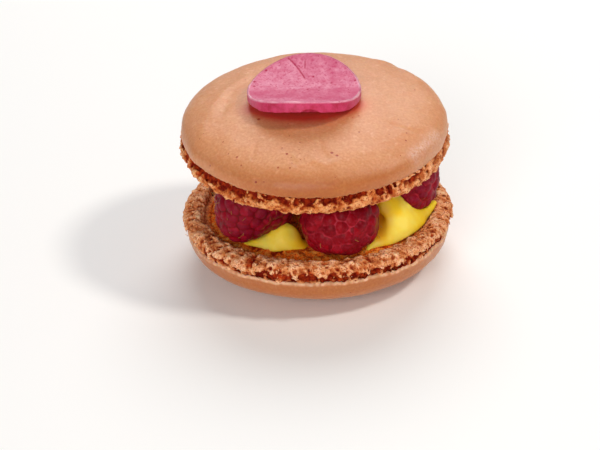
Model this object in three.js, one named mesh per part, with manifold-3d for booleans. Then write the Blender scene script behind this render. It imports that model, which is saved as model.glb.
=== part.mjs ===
// French macaron sandwich: two baked shells with ruffled feet, a ring of raspberries standing between them,
// piped yellow cream in the middle and between the berries, and a bent pink disc on the upper dome.
// Millimetres, +Z up. It rests on the flat spot under the lower dome; the origin is the bottom centre of its box.
import * as THREE from 'three';
import { mergeVertices } from 'three/addons/utils/BufferGeometryUtils.js';
import Module from 'manifold-3d';

// Shells. Heights are counted from the edge where the smooth skin meets the rough foot.
const skinRadius = 36.3;
const lowerDomeHeight = 11.2;
const upperDomeHeight = 10; // the upper shell has baked a little flatter
const domeFullness = 2.5; // exponent of the dome's superellipse, 2 is an ellipse
const lowerFootRadius = 38.2; // the lower foot is pressed out past the skin
const upperFootRadius = 37.1;
const footDepth = 5.5; // from the skin's edge to the foot's crest
const crestRadius = 33.5;
const sunkenDepth = 2.9; // from the skin's edge to the flat that the filling touches
const sunkenRadius = 29.2;
const undercut = 1.3; // how far the groove under the skin's edge goes in
const grooveDrop = 0.2; // depth of that groove, as a share of the foot's depth
// Outer face of the foot: distance in from its radius, and depth as a share of the foot's depth.
const footFace = [
  { inset: 0.5, drop: 0.38 },
  { inset: 0, drop: 0.58 },
  { inset: 1.3, drop: 0.85 },
];
const crestSlope = 1.7; // from the crest in to the middle of the slope behind it
// Share of the crumb relief that each part of the foot gets.
const grooveRough = 0.6;
const crestRough = 0.7;
const slopeRough = 0.2;
const ruffleOut = 0.45; // crumb relief of the foot, in and out
const ruffleUp = 0.3;
const restRadius = 13; // flat spot that the lower dome stands on
const shellSegments = 80;
const domeRings = 6;

// How the upper shell sits on the filling.
const skinEdgeLow = lowerDomeHeight; // height of the lower shell's skin edge above the table
const skinEdgeHigh = 39.5; // the same edge of the upper shell, at its axis
const upperShift = -0.3; // the upper shell's axis, along X
const upperTilt = 4.9; // degrees, nearer side down

// Raspberries, as azimuth from the near side (-Y) towards +X, and distance from the axis.
const berries = [
  { azimuth: -47.5, distance: 23.8, halfWidth: 10.5, turn: 20 },
  { azimuth: 13.5, distance: 24.6, halfWidth: 10.5, turn: 75 },
  { azimuth: 84, distance: 23.9, halfWidth: 10.5, turn: 140 },
  { azimuth: 156, distance: 22.6, halfWidth: 10.3, turn: 215 },
  { azimuth: 236, distance: 22.4, halfWidth: 10.3, turn: 300 },
];
const berryFullness = 2.25;
const drupeletBulge = 0.4;
const drupeletsAround = 9;
const drupeletRows = 5;

// Piped cream: lobes between the berries, as azimuth, half the angle they spread over, reach from the axis
// and height. Low lobes are the drawn-out tails of the tall ones.
const creamLobes = [
  { azimuth: -25, spread: 27, reach: 25.4, height: 7.2 },
  { azimuth: -41, spread: 13, reach: 27.4, height: 3.4 },
  { azimuth: 48, spread: 27, reach: 29.8, height: 24 },
  { azimuth: 70, spread: 22, reach: 32.2, height: 10.5 },
  { azimuth: 123, spread: 30, reach: 28, height: 17 },
  { azimuth: 196, spread: 32, reach: 26.5, height: 10 },
  { azimuth: 275, spread: 34, reach: 22.5, height: 12 },
];
const creamCore = 9; // the middle mass fills up to this radius
const creamCoreTop = 5; // and reaches the upper shell inside this one
const creamEdge = 0.5; // thickness of the cream's thin outer edge
const creamFoot = 0.85; // its underside is flat inside this share of its reach
const lobeSide = 6; // powers of the curves that round a lobe off sideways and outwards
const lobeFront = 5;
const ringSpread = 0.8; // power that crowds the rings towards the outer edge
const creamSegments = 60;
const creamRings = 7;

// Bent pink disc.
const discRadius = 15.4;
const discThickness = 2.8;
const discShift = [-2.5, -1.7]; // its fold, from the upper dome's middle
const discDepth = 0.905; // the bent disc is shorter across its fold, as a share of its width
const bendNear = 0.0206; // how fast each half curls up, per mm
const bendFar = 0.0195;
const swingNear = 0.073; // how far the fold of each half swings from X, per mm
const swingFar = 0.145;
const chipDepth = 0.5; // small chip under the near lip
const chipWidth = 2.2;
const chipPlace = 2.4; // along X, from the disc's middle
const discSegments = 40;
const discRings = 4;

const gap = 0.3; // between pieces that touch
const degree = Math.PI / 180;

// A repeatable pseudo-random number from -1 to 1 for a vertex of a rough surface.
function scatter(i, j) {
  const value = Math.sin(i * 12.9898 + j * 78.233) * 43758.5453;
  return 2 * (value - Math.floor(value)) - 1;
}

function circlePoint(radius, angle, z) {
  return [radius * Math.cos(angle), radius * Math.sin(angle), z];
}

// A closed skin over rings of points that run from a top pole to a bottom pole.
function skinOver(topPole, rings, bottomPole) {
  const points = [topPole, ...rings.flat(), bottomPole];
  const count = rings[0].length;
  const last = points.length - 1;
  const index = [];
  for (let i = 0; i < count; i += 1) {
    const next = (i + 1) % count;
    index.push(0, 1 + i, 1 + next);
    for (let r = 0; r < rings.length - 1; r += 1) {
      const upper = 1 + r * count;
      const lower = upper + count;
      index.push(upper + i, lower + i, lower + next);
      index.push(upper + i, lower + next, upper + next);
    }
    index.push(last, last - count + next, last - count + i);
  }
  const geometry = new THREE.BufferGeometry();
  geometry.setAttribute('position', new THREE.Float32BufferAttribute(points.flat(), 3));
  geometry.setIndex(index);
  geometry.computeVertexNormals();
  return geometry;
}

// One shell with its dome up: skin, undercut groove, ruffled foot, crest and sunken flat.
function shellGeometry(domeHeight, footRadius, flatSpot, seed) {
  const profile = [];
  for (let k = 1; k <= domeRings; k += 1) {
    const lift = (Math.PI / 2) * (1 - k / domeRings);
    const radius = skinRadius * Math.cos(lift) ** (2 / domeFullness);
    const height = domeHeight * Math.sin(lift) ** (2 / domeFullness);
    profile.push({ radius, height, rough: 0 });
  }
  const flatHeight = domeHeight * (1 - (flatSpot / skinRadius) ** domeFullness) ** (1 / domeFullness);
  if (flatSpot > 0) {
    profile.unshift({ radius: flatSpot, height: flatHeight, rough: 0 });
  }
  profile.push({ radius: skinRadius - undercut, height: -grooveDrop * footDepth, rough: grooveRough });
  for (const face of footFace) {
    profile.push({ radius: footRadius - face.inset, height: -face.drop * footDepth, rough: 1 });
  }
  profile.push({ radius: crestRadius, height: -footDepth, rough: crestRough });
  const slopeMiddle = (footDepth + sunkenDepth) / 2;
  profile.push({ radius: crestRadius - crestSlope, height: -slopeMiddle, rough: slopeRough });
  profile.push({ radius: sunkenRadius, height: -sunkenDepth, rough: 0 });
  const kept = profile.filter((p) => p.height <= flatHeight + 1e-6);
  const rings = kept.map((p, ring) => {
    const points = [];
    for (let i = 0; i < shellSegments; i += 1) {
      const angle = (2 * Math.PI * i) / shellSegments;
      const out = p.rough * ruffleOut * scatter(i + seed, ring);
      const up = p.rough * ruffleUp * scatter(i, ring + seed);
      points.push(circlePoint(p.radius + out, angle, p.height + up));
    }
    return points;
  });
  return skinOver([0, 0, flatHeight], rings, [0, 0, -sunkenDepth]);
}

// Height of the lower shell's hollow side above the table.
function bowlHeight(radius) {
  const floor = skinEdgeLow + sunkenDepth;
  const crest = skinEdgeLow + footDepth;
  const rise = (radius - sunkenRadius) / (crestRadius - sunkenRadius);
  return floor + (crest - floor) * THREE.MathUtils.clamp(rise, 0, 1);
}

// Height of the upper shell's tilted flat over a point.
function ceilingHeight(y) {
  return skinEdgeHigh - sunkenDepth / Math.cos(upperTilt * degree) + y * Math.tan(upperTilt * degree);
}

// A raspberry round its own centre: a full barrel with rows of drupelets set half a pitch apart.
function berryGeometry(halfWidth, halfHeight, bulge) {
  const segments = 2 * drupeletsAround;
  const levels = 2 * drupeletRows + 1;
  const rings = [];
  for (let k = 0; k < levels; k += 1) {
    const lift = Math.PI * (0.5 - (k + 1) / (levels + 1));
    const power = 2 / berryFullness;
    const radius = (halfWidth - bulge) * Math.cos(lift) ** power;
    const height = (halfHeight - bulge) * Math.sign(lift) * Math.abs(Math.sin(lift)) ** power;
    const onRow = k % 2 === 1;
    const points = [];
    for (let i = 0; i < segments; i += 1) {
      const angle = (2 * Math.PI * i) / segments;
      const onDrupelet = onRow && (i + (k - 1) / 2) % 2 === 0;
      const swell = onDrupelet ? bulge : -bulge;
      points.push(circlePoint(radius + swell * Math.cos(lift), angle, height + swell * Math.sin(lift)));
    }
    rings.push(points);
  }
  return skinOver([0, 0, halfHeight - bulge], rings, [0, 0, bulge - halfHeight]);
}

// Puts a berry's geometry in its place between the shells.
function placeBerry(berry, grow, bulge) {
  const x = berry.distance * Math.sin(berry.azimuth * degree);
  const y = -berry.distance * Math.cos(berry.azimuth * degree);
  const floor = bowlHeight(0);
  const room = (ceilingHeight(y) - floor) * Math.cos(upperTilt * degree);
  const geometry = berryGeometry(berry.halfWidth + grow, room / 2 - gap + grow, bulge);
  geometry.rotateZ(berry.turn * degree);
  geometry.rotateX(-upperTilt * 0.5 * degree);
  geometry.translate(x, y, (floor + ceilingHeight(y)) / 2);
  return geometry;
}

// How far an azimuth lies from the middle of a lobe, 1 at the lobe's side.
function besideLobe(lobe, azimuth) {
  const turn = THREE.MathUtils.euclideanModulo(azimuth - lobe.azimuth + 180, 360) - 180;
  return Math.abs(turn) / lobe.spread;
}

// How far the cream reaches from the axis at an azimuth.
function creamReach(azimuth) {
  let reach = creamCore;
  for (const lobe of creamLobes) {
    const share = Math.max(0, 1 - besideLobe(lobe, azimuth) ** lobeSide);
    reach = Math.max(reach, creamCore + (lobe.reach - creamCore) * share);
  }
  return reach;
}

// Cream height over the bowl at a place given by radius and azimuth.
function creamHeight(radius, azimuth) {
  const core = THREE.MathUtils.smoothstep(creamCore - radius, 0, creamCore - creamCoreTop);
  let height = core * (skinEdgeHigh - skinEdgeLow);
  for (const lobe of creamLobes) {
    const across = Math.cos((Math.PI / 2) * Math.min(1, besideLobe(lobe, azimuth)));
    const along = Math.sqrt(Math.max(0, 1 - (radius / lobe.reach) ** lobeFront));
    height = Math.max(height, lobe.height * across * along);
  }
  return height;
}

function creamGeometry() {
  const rings = [];
  for (let k = 1; k <= creamRings; k += 1) {
    const share = Math.sin((Math.PI / 2) * (k / creamRings)) ** ringSpread;
    const points = [];
    for (let i = 0; i < creamSegments; i += 1) {
      const azimuth = (360 * i) / creamSegments;
      const radius = creamReach(azimuth) * share;
      const x = radius * Math.sin(azimuth * degree);
      const y = -radius * Math.cos(azimuth * degree);
      const top = bowlHeight(radius) + gap + creamEdge + creamHeight(radius, azimuth);
      points.push([x, y, Math.min(top, ceilingHeight(y) - gap)]);
    }
    rings.push(points);
  }
  const outline = rings[rings.length - 1];
  rings.push(outline.map(([x, y]) => [x, y, bowlHeight(Math.hypot(x, y)) + gap]));
  rings.push(outline.map(([x, y]) => {
    const height = bowlHeight(creamFoot * Math.hypot(x, y)) + gap;
    return [creamFoot * x, creamFoot * y, height];
  }));
  return skinOver([0, 0, ceilingHeight(0) - gap], rings, [0, 0, bowlHeight(0) + gap]);
}

// The disc's top face rises on both sides of its fold, which runs near X.
function discBend(x, y) {
  const bend = y < 0 ? bendNear : bendFar;
  const fromFold = y < 0 ? Math.min(0, y + swingNear * x) : Math.max(0, y + swingFar * x);
  return { rise: bend * fromFold * fromFold, lean: Math.atan(2 * bend * fromFold) };
}

function discGeometry() {
  const rings = [];
  const ringAt = (share, drop) => {
    const points = [];
    for (let i = 0; i < discSegments; i += 1) {
      const angle = (2 * Math.PI * i) / discSegments;
      const x = discRadius * share * Math.cos(angle);
      const y = discRadius * share * Math.sin(angle) * discDepth;
      const { rise, lean } = discBend(x, y);
      const nearLip = share === 1 && y < 0 && drop > 0;
      const chip = nearLip ? chipDepth * Math.exp(-(((x - chipPlace) / chipWidth) ** 2)) : 0;
      const depth = drop - chip;
      points.push([x, y + depth * Math.sin(lean), rise - depth * Math.cos(lean)]);
    }
    return points;
  };
  for (let k = 1; k <= discRings; k += 1) {
    rings.push(ringAt(k / discRings, 0));
  }
  for (let k = discRings; k >= 1; k -= 1) {
    rings.push(ringAt(k / discRings, discThickness));
  }
  return skinOver([0, 0, 0], rings, [0, 0, -discThickness]);
}

const wasm = await Module();
wasm.setup();

function toSolid(geometry) {
  const bare = geometry.clone();
  bare.deleteAttribute('normal');
  const merged = mergeVertices(bare);
  return new wasm.Manifold(new wasm.Mesh({
    numProp: 3,
    vertProperties: merged.attributes.position.array,
    triVerts: merged.index.array,
  }));
}

function fromSolid(solid) {
  const mesh = solid.getMesh();
  const geometry = new THREE.BufferGeometry();
  geometry.setAttribute('position', new THREE.BufferAttribute(mesh.vertProperties, 3));
  geometry.setIndex(new THREE.BufferAttribute(mesh.triVerts, 1));
  geometry.computeVertexNormals();
  return geometry;
}

// The cream with a smooth hollow pressed in by each berry; loose slivers behind the berries are dropped.
function pressedCream() {
  let solid = toSolid(creamGeometry());
  for (const berry of berries) {
    solid = solid.subtract(toSolid(placeBerry(berry, gap + drupeletBulge, 0)));
  }
  const pieces = solid.decompose();
  pieces.sort((a, b) => b.volume() - a.volume());
  return fromSolid(pieces[0]);
}

function piece(name, geometry, color, roughness) {
  const material = new THREE.MeshStandardMaterial({ color, roughness, metalness: 0 });
  const mesh = new THREE.Mesh(geometry, material);
  mesh.name = name;
  return mesh;
}

const bakedPeach = 0xdc9c76;
const berryRed = 0x86171c;
const creamYellow = 0xf0cc4a;
const discPink = 0xdb7f99;

const lowerShape = shellGeometry(lowerDomeHeight, lowerFootRadius, restRadius, 3);
const lowerShell = piece('shell_bottom', lowerShape, bakedPeach, 0.75);
lowerShell.rotation.x = Math.PI;
lowerShell.position.z = skinEdgeLow;

const upperShape = shellGeometry(upperDomeHeight, upperFootRadius, 0, 11);
const upperShell = piece('shell_top', upperShape, bakedPeach, 0.75);
const disc = piece('pink_disc', discGeometry(), discPink, 0.5);
disc.position.set(discShift[0], discShift[1], upperDomeHeight + gap + discThickness);
const lid = new THREE.Group();
lid.add(upperShell, disc);
lid.rotation.x = upperTilt * degree;
lid.position.set(upperShift, 0, skinEdgeHigh);

const macaron = new THREE.Group();
macaron.add(lowerShell, lid, piece('cream', pressedCream(), creamYellow, 0.4));
berries.forEach((berry, i) => {
  macaron.add(piece(`raspberry_${i + 1}`, placeBerry(berry, 0, drupeletBulge), berryRed, 0.45));
});

// Centre the whole over the origin, standing on z = 0.
macaron.updateMatrixWorld(true);
const box = new THREE.Box3().setFromObject(macaron, true);
const middle = box.getCenter(new THREE.Vector3());
macaron.position.set(-middle.x, -middle.y, -box.min.z);
macaron.updateMatrixWorld(true);

export default macaron;
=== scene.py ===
import bpy
import math
from functools import partial
import numpy as np
from mathutils import Matrix, Vector, noise


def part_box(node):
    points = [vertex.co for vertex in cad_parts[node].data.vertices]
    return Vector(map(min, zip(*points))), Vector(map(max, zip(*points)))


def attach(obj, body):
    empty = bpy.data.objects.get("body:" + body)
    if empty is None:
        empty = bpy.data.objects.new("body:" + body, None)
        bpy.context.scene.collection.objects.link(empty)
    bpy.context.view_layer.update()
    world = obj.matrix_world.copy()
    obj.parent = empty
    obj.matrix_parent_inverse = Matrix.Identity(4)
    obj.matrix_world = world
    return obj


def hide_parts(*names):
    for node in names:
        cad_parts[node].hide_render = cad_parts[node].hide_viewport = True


# Looks of a filled macaron: meringue shells, raspberries, piped cream and a bent pink disc.
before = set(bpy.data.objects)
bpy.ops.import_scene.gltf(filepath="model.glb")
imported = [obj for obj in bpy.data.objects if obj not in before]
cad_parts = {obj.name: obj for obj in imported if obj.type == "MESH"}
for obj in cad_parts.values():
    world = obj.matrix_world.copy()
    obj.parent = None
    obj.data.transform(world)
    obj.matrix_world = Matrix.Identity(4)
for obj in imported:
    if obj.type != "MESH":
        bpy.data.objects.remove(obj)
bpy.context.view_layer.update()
mm = 0.001


# small helpers
def linear(hexColour):
    # sRGB hex, as a colour picker gives it, to the linear values that shaders use
    parts = [int(hexColour[i:i + 2], 16) / 255 for i in (1, 3, 5)]
    return [p / 12.92 if p <= 0.04045 else ((p + 0.055) / 1.055) ** 2.4 for p in parts] + [1.0]


def addNode(tree, kind, inputs=(), **settings):
    # adds a node, sets it, and fills its inputs with values, sockets or the first output in use of a node
    node = tree.nodes.new(kind)
    for key, value in settings.items():
        setattr(node, key, value)
    pairs = inputs.items() if isinstance(inputs, dict) else enumerate(inputs)
    for key, value in pairs:
        if isinstance(value, bpy.types.Node):
            value = next(s for s in value.outputs if s.enabled)
        if isinstance(value, bpy.types.NodeSocket):
            tree.links.new(value, node.inputs[key])
        else:
            node.inputs[key].default_value = value
    return node


def newTree(name, sizes):
    # an empty Geometry Nodes tree with one named input for each size
    tree = bpy.data.node_groups.new(name, "GeometryNodeTree")
    tree.interface.new_socket(name="Geometry", in_out="OUTPUT", socket_type="NodeSocketGeometry")
    kinds = {float: "NodeSocketFloat", int: "NodeSocketInt", tuple: "NodeSocketVector"}
    for label, value in sizes.items():
        tree.interface.new_socket(name=label, in_out="INPUT", socket_type=kinds[type(value)])
    add = partial(addNode, tree)
    return tree, add, add("NodeGroupInput").outputs


def addObject(name, data):
    thing = bpy.data.objects.new(name, data)
    bpy.context.scene.collection.objects.link(thing)
    return thing


def growPiece(name, tree, sizes, material):
    # runs the tree on an empty mesh and keeps the result as a plain mesh
    host = addObject(name + "Host", bpy.data.meshes.new(name + "Host"))
    modifier = host.modifiers.new(name, "NODES")
    modifier.node_group = tree
    for item in tree.interface.items_tree:
        if item.in_out == "INPUT" and item.name in sizes:
            modifier[item.identifier] = sizes[item.name]
    bpy.context.view_layer.update()
    grown = host.evaluated_get(bpy.context.evaluated_depsgraph_get())
    mesh = bpy.data.meshes.new_from_object(grown)
    bpy.data.objects.remove(host)
    mesh.name = name
    mesh.materials.clear()
    mesh.materials.append(material)
    return addObject(name, mesh)


def axisAway(add, point):
    # how far a point is from the upright axis
    flat = add("ShaderNodeVectorMath", [point, (1.0, 1.0, 0.0)], operation="MULTIPLY")
    return add("ShaderNodeVectorMath", [flat], operation="LENGTH")


def fieldSurface(add, field, low, high, voxel, layers, adaptivity=0.0):
    # the surface where a distance field is zero, from a box of voxels, and what its material reads
    density = add("ShaderNodeMath", [field, -1.0], operation="MULTIPLY")
    span = add("ShaderNodeVectorMath", [high, low], operation="SUBTRACT")
    counts = add("ShaderNodeVectorMath", [span, voxel], operation="DIVIDE")
    countAxes = add("ShaderNodeSeparateXYZ", [counts])
    cube = add("GeometryNodeVolumeCube", [density, -1.0, low, high, *countAxes.outputs[:3]])
    surface = add("GeometryNodeVolumeToMesh", {"Volume": cube, "Threshold": 0.0, "Adaptivity": adaptivity})
    for label, value in layers.items():
        surface = add("GeometryNodeStoreNamedAttribute", {
            "Geometry": surface, "Name": label, "Value": value}, data_type="FLOAT", domain="POINT")
    return surface


def endTree(add, geometry, material):
    # every tree ends the same way: real meshes, smooth shading, its material
    real = add("GeometryNodeRealizeInstances", [geometry])
    smooth = add("GeometryNodeSetShadeSmooth", [real])
    dressed = add("GeometryNodeSetMaterial", {"Geometry": smooth, "Material": material})
    add("NodeGroupOutput", [dressed])


def newMaterial(name, look):
    # an empty material, what adds nodes to it, and its colours as linear values
    material = bpy.data.materials.new(name)
    material.use_nodes = True
    material.node_tree.nodes.clear()
    tones = {key: linear(hexColour) for key, hexColour in look.items()}
    return material, partial(addNode, material.node_tree), tones


# baked meringue: a smooth almond skin over an open crumb foot

# painted light here: red and orange shadow of the pink disc, pale glints, pale rim highlight, browns
# partly shade
meringueLook = {
    "skin": "#d79363", "skinPale": "#dfa073", "skinFleck": "#c4733c", "skinBrownAndShade": "#d0a757",
    "pore": "#a4340c", "speck": "#efb994", "crinkleGlint": "#f8e2dc", "discShadow": "#c40002", "discShadowThin": "#e4602c",
    "edge": "#f4c49c", "sheen": "#fff4ea", "crumb": "#f9c498", "crumbMid": "#d8844a",
    "crumbDeep": "#7c1400", "crumbTorn": "#c04410", "crumbBrownAndShade": "#e8c68c", "grit": "#b4603a",
    "floor": "#f47418", "floorPale": "#fca44a", "floorDeep": "#a82c04",
}
# the widest pin-holes of the upper skin, where they lie seen from above, with their half width, in mm
pinHoles = [
    (-15.1, -11.5, 0.46), (-7.9, -27.0, 0.36), (-21.0, -25.0, 0.34), (-10.3, -31.0, 0.26),
    (-4.4, -22.8, 0.22), (-24.7, -18.3, 0.22), (3.8, -27.4, 0.44), (5.1, -28.4, 0.4), (11.3, -18.9, 0.28),
    (23.5, -20.5, 0.28), (9.9, -12.5, 0.18), (-19.9, -27.7, 0.22), (-9.1, -24.6, 0.22),
    (-7.2, -31.5, 0.24), (-21.5, -18.7, 0.16),
]


def spotsIn(add, place, scale, pickFrom, widest):
    # round spots of mixed size in some cells of a pattern: above 0 inside a spot
    cells = add("ShaderNodeTexVoronoi", {"Vector": place, "Scale": scale})
    pick = add("ShaderNodeSeparateXYZ", [cells.outputs["Color"]])
    size = add("ShaderNodeMapRange", [pick, pickFrom, 1.0, 0.0, widest])
    return add("ShaderNodeMath", [size, cells.outputs["Distance"]], operation="SUBTRACT")


def skinMaterial(look):
    # the dried skin of a macaron: matt, with a pale dusty veil at a low angle and a few pin-holes
    material, add, tones = newMaterial("driedMeringueSkin", look)
    place = add("ShaderNodeTexCoord").outputs["Object"]
    brown, edge, crinkleGlint, discShadow = (add("ShaderNodeAttribute", attribute_name=label).outputs["Fac"]
                                for label in ("brown", "edge", "crinkleGlint", "discShadow"))

    # broad cloudy colour, about 12 mm across, and a fine grain of ground almond
    cloud = add("ShaderNodeTexNoise", {"Vector": place, "Scale": 85.0, "Detail": 3.0})
    cloudRange = add("ShaderNodeMapRange", [cloud, 0.35, 0.65, 0.0, 1.0])
    grain = add("ShaderNodeTexNoise", {"Vector": place, "Scale": 1500.0, "Detail": 3.0})
    grainRange = add("ShaderNodeMapRange", [grain, 0.35, 0.7, 0.5, 0.0])

    # pin-holes: wide ones in some cells of 4 mm, finer ones in cells of 2.3 mm, the widest in their own
    # places, and a few crowds of small ones
    holes = [spotsIn(add, place, *spots) for spots in ((250.0, 0.6, 0.1), (430.0, 0.3, 0.09))]
    singleIn = add("ShaderNodeMath", holes, operation="MAXIMUM")
    inMm = add("ShaderNodeVectorMath", [place, (1 / mm, 1 / mm, 0.0)], operation="MULTIPLY")
    for x, y, wide in pinHoles:
        away = add("ShaderNodeVectorMath", [inMm, (x, y, 0.0)], operation="DISTANCE")
        inHole = add("ShaderNodeMath", [away, -0.15, 0.15 * wide + 0.01], operation="MULTIPLY_ADD")
        singleIn = add("ShaderNodeMath", [singleIn, inHole], operation="MAXIMUM")
    crowd = add("ShaderNodeTexVoronoi", {"Vector": place, "Scale": 750.0})
    crowdPlace = add("ShaderNodeTexNoise", {"Vector": place, "Scale": 95.0, "Detail": 0.0})
    crowdSize = add("ShaderNodeMapRange", [crowdPlace, 0.66, 0.76, -0.1, 0.14])
    crowdIn = add("ShaderNodeMath", [crowdSize, crowd.outputs["Distance"]], operation="SUBTRACT")
    poreIn = add("ShaderNodeMath", [singleIn, crowdIn], operation="MAXIMUM")
    pore = add("ShaderNodeMapRange", [poreIn, 0.0, 0.03, 0.0, 1.0])
    # low goose-flesh of 1.5 mm, paler on its tops
    peel = add("ShaderNodeTexNoise", {"Vector": place, "Scale": 700.0, "Detail": 2.0})
    peelTop = add("ShaderNodeMapRange", [peel, 0.6, 0.76, 0.0, 0.4])
    # painted glints of 0.6 mm on the wrinkles, and the painted shadow of the pink disc, deep red close to
    # it and orange further out
    glintNoise = add("ShaderNodeTexNoise", {"Vector": place, "Scale": 1700.0, "Detail": 2.0})
    glintGrain = add("ShaderNodeMapRange", [glintNoise, 0.35, 0.7, 0.1, 0.42])
    glintShare = add("ShaderNodeMath", [crinkleGlint, glintGrain], operation="MULTIPLY")
    discShadowTone = add("ShaderNodeMix", {0: discShadow, 6: tones["discShadowThin"], 7: tones["discShadow"]},
                    data_type="RGBA")

    # the brown multiply is partly baked colour and partly painted shade, and the pale rim tone a painted
    # highlight
    colour = tones["skin"]
    for share, tone, blend in (
            (cloudRange, tones["skinPale"], "MIX"), (grainRange, tones["skinFleck"], "MIX"),
            (pore, tones["pore"], "MIX"), (peelTop, tones["speck"], "MIX"),
            (brown, tones["skinBrownAndShade"], "MULTIPLY"), (glintShare, tones["crinkleGlint"], "MIX"),
            (discShadow, discShadowTone, "MIX"), (edge, tones["edge"], "MIX")):
        colour = add("ShaderNodeMix", {0: share, 6: colour, 7: tone}, data_type="RGBA", blend_type=blend)
    poreDepth = add("ShaderNodeMath", [pore, -1.0], operation="MULTIPLY")
    peelBump = add("ShaderNodeBump", {"Strength": 0.4, "Distance": 0.25 * mm, "Height": peel})
    grainBump = add("ShaderNodeBump",
                    {"Strength": 0.3, "Distance": 0.1 * mm, "Height": grain, "Normal": peelBump})
    poreBump = add("ShaderNodeBump",
                   {"Strength": 0.4, "Distance": 0.2 * mm, "Height": poreDepth, "Normal": grainBump})
    shader = add("ShaderNodeBsdfPrincipled", {
        "Base Color": colour, "Roughness": 0.48, "Specular IOR Level": 0.5,
        "Subsurface Weight": 0.3, "Subsurface Scale": 1.0,
        "Subsurface Radius": (2.0 * mm, 0.5 * mm, 0.15 * mm),
        "Sheen Weight": 0.1, "Sheen Roughness": 0.5, "Sheen Tint": tones["sheen"], "Normal": poreBump})
    add("ShaderNodeOutputMaterial", {"Surface": shader})
    return material


def crumbMaterial(look):
    # open baked crumb: no gloss at all, pale on the lumps and red-brown down in the holes, a painted shade
    material, add, tones = newMaterial("openMeringueCrumb", look)
    place = add("ShaderNodeTexCoord").outputs["Object"]
    pit, hollow, brown = (add("ShaderNodeAttribute", attribute_name=label).outputs["Fac"]
                          for label in ("pit", "hollow", "brown"))
    # the colour varies over lumps of a millimetre: on the foot, on the sunken flat and down in the holes
    crumbNoise = add("ShaderNodeTexNoise", {"Vector": place, "Scale": 800.0, "Detail": 4.0})
    varied = []
    for low, high, most, tone, otherTone in (
            (0.45, 0.66, 0.7, "crumb", "crumbMid"), (0.45, 0.62, 1.0, "floor", "floorPale"),
            (0.44, 0.66, 0.85, "crumbDeep", "crumbTorn")):
        vary = add("ShaderNodeMapRange", [crumbNoise, low, high, 0.0, most])
        varied.append(add("ShaderNodeMix", {0: vary, 6: tones[tone], 7: tones[otherTone]},
                          data_type="RGBA"))
    lumpTone, floorTone, tornTone = varied
    midTone = add("ShaderNodeMix", {0: hollow, 6: tones["crumbMid"], 7: tones["floorDeep"]},
                  data_type="RGBA")
    # darker and redder the deeper the crumb lies: painted shade of the holes
    sunk = add("ShaderNodeMapRange", [pit, 0.22, 0.6, 0.0, 1.0])
    deep = add("ShaderNodeMapRange", [pit, 0.52, 0.88, 0.0, 1.0])
    # grains of almond of half a millimetre, with painted shade in the chinks between them
    grit = add("ShaderNodeTexNoise", {"Vector": place, "Scale": 2300.0, "Detail": 2.0})
    chink = add("ShaderNodeMapRange", [grit, 0.53, 0.62, 0.0, 0.8])
    # the brown multiply here is painted shade on one side of the foot
    colour = lumpTone
    for share, tone, blend in (
            (hollow, floorTone, "MIX"), (sunk, midTone, "MIX"), (deep, tornTone, "MIX"),
            (chink, tones["grit"], "MULTIPLY"), (brown, tones["crumbBrownAndShade"], "MULTIPLY")):
        colour = add("ShaderNodeMix", {0: share, 6: colour, 7: tone}, data_type="RGBA", blend_type=blend)
    relief = add("ShaderNodeBump", {"Strength": 0.6, "Distance": 0.3 * mm, "Height": crumbNoise})
    gritDepth = add("ShaderNodeMath", [grit, -1.0], operation="MULTIPLY")
    bump = add("ShaderNodeBump",
               {"Strength": 0.7, "Distance": 0.25 * mm, "Height": gritDepth, "Normal": relief})
    shader = add("ShaderNodeBsdfPrincipled", {
        "Base Color": colour, "Roughness": 0.85, "Specular IOR Level": 0.12,
        "Subsurface Weight": 0.2, "Subsurface Scale": 1.0,
        "Subsurface Radius": (1.2 * mm, 0.3 * mm, 0.1 * mm), "Normal": bump})
    add("ShaderNodeOutputMaterial", {"Surface": shader})
    return material


def spunMesh(name, top, rings, bottom, layers, materials, rows):
    # a closed skin over rings of points that run from a top pole to a bottom pole
    count, around = rings.shape[:2]
    vertices = [top, *map(tuple, rings.reshape(-1, 3)), bottom]
    last = len(vertices) - 1
    faces = []
    for i in range(around):
        after = (i + 1) % around
        faces.append((0, 1 + i, 1 + after))
        faces.append((last, last - around + after, last - around + i))
        for k in range(count - 1):
            a, b = 1 + k * around, 1 + (k + 1) * around
            faces.append((a + i, b + i, b + after, a + after))
    mesh = bpy.data.meshes.new(name)
    mesh.from_pydata(vertices, [], faces)
    mesh.polygons.foreach_set("use_smooth", [True] * len(faces))
    mesh.polygons.foreach_set("material_index", [rows[0], rows[-1], *rows[:count - 1]] * around)
    for label, values in layers.items():
        layer = mesh.attributes.new(label, "FLOAT", "POINT")
        layer.data.foreach_set("value", [values[0].mean(), *values.reshape(-1), values[-1].mean()])
    for material in materials:
        mesh.materials.append(material)
    return mesh


def roughness(points, size, seed):
    # smooth random numbers from -1 to 1 that change over the given size in mm
    shift = Vector((seed * 7.3, seed * 3.1, seed * 5.7))
    values = [noise.noise(Vector(p) / size + shift) for p in points.reshape(-1, 3)]
    return np.array(values).reshape(points.shape[:-1]) * 1.6


def smoothStep(values, low, high):
    share = np.clip((values - low) / (high - low), 0, 1)
    return share * share * (3 - 2 * share)


def lineAway(x, y, line):
    # distance from points to a bent line
    best = np.full(x.shape, 1e9)
    for (ax, ay), (bx, by) in zip(line[:-1], line[1:]):
        share = np.clip(((x - ax) * (bx - ax) + (y - ay) * (by - ay)) / ((bx - ax) ** 2 + (by - ay) ** 2),
                        0, 1)
        best = np.minimum(best, np.hypot(x - ax - share * (bx - ax), y - ay - share * (by - ay)))
    return best


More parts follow.
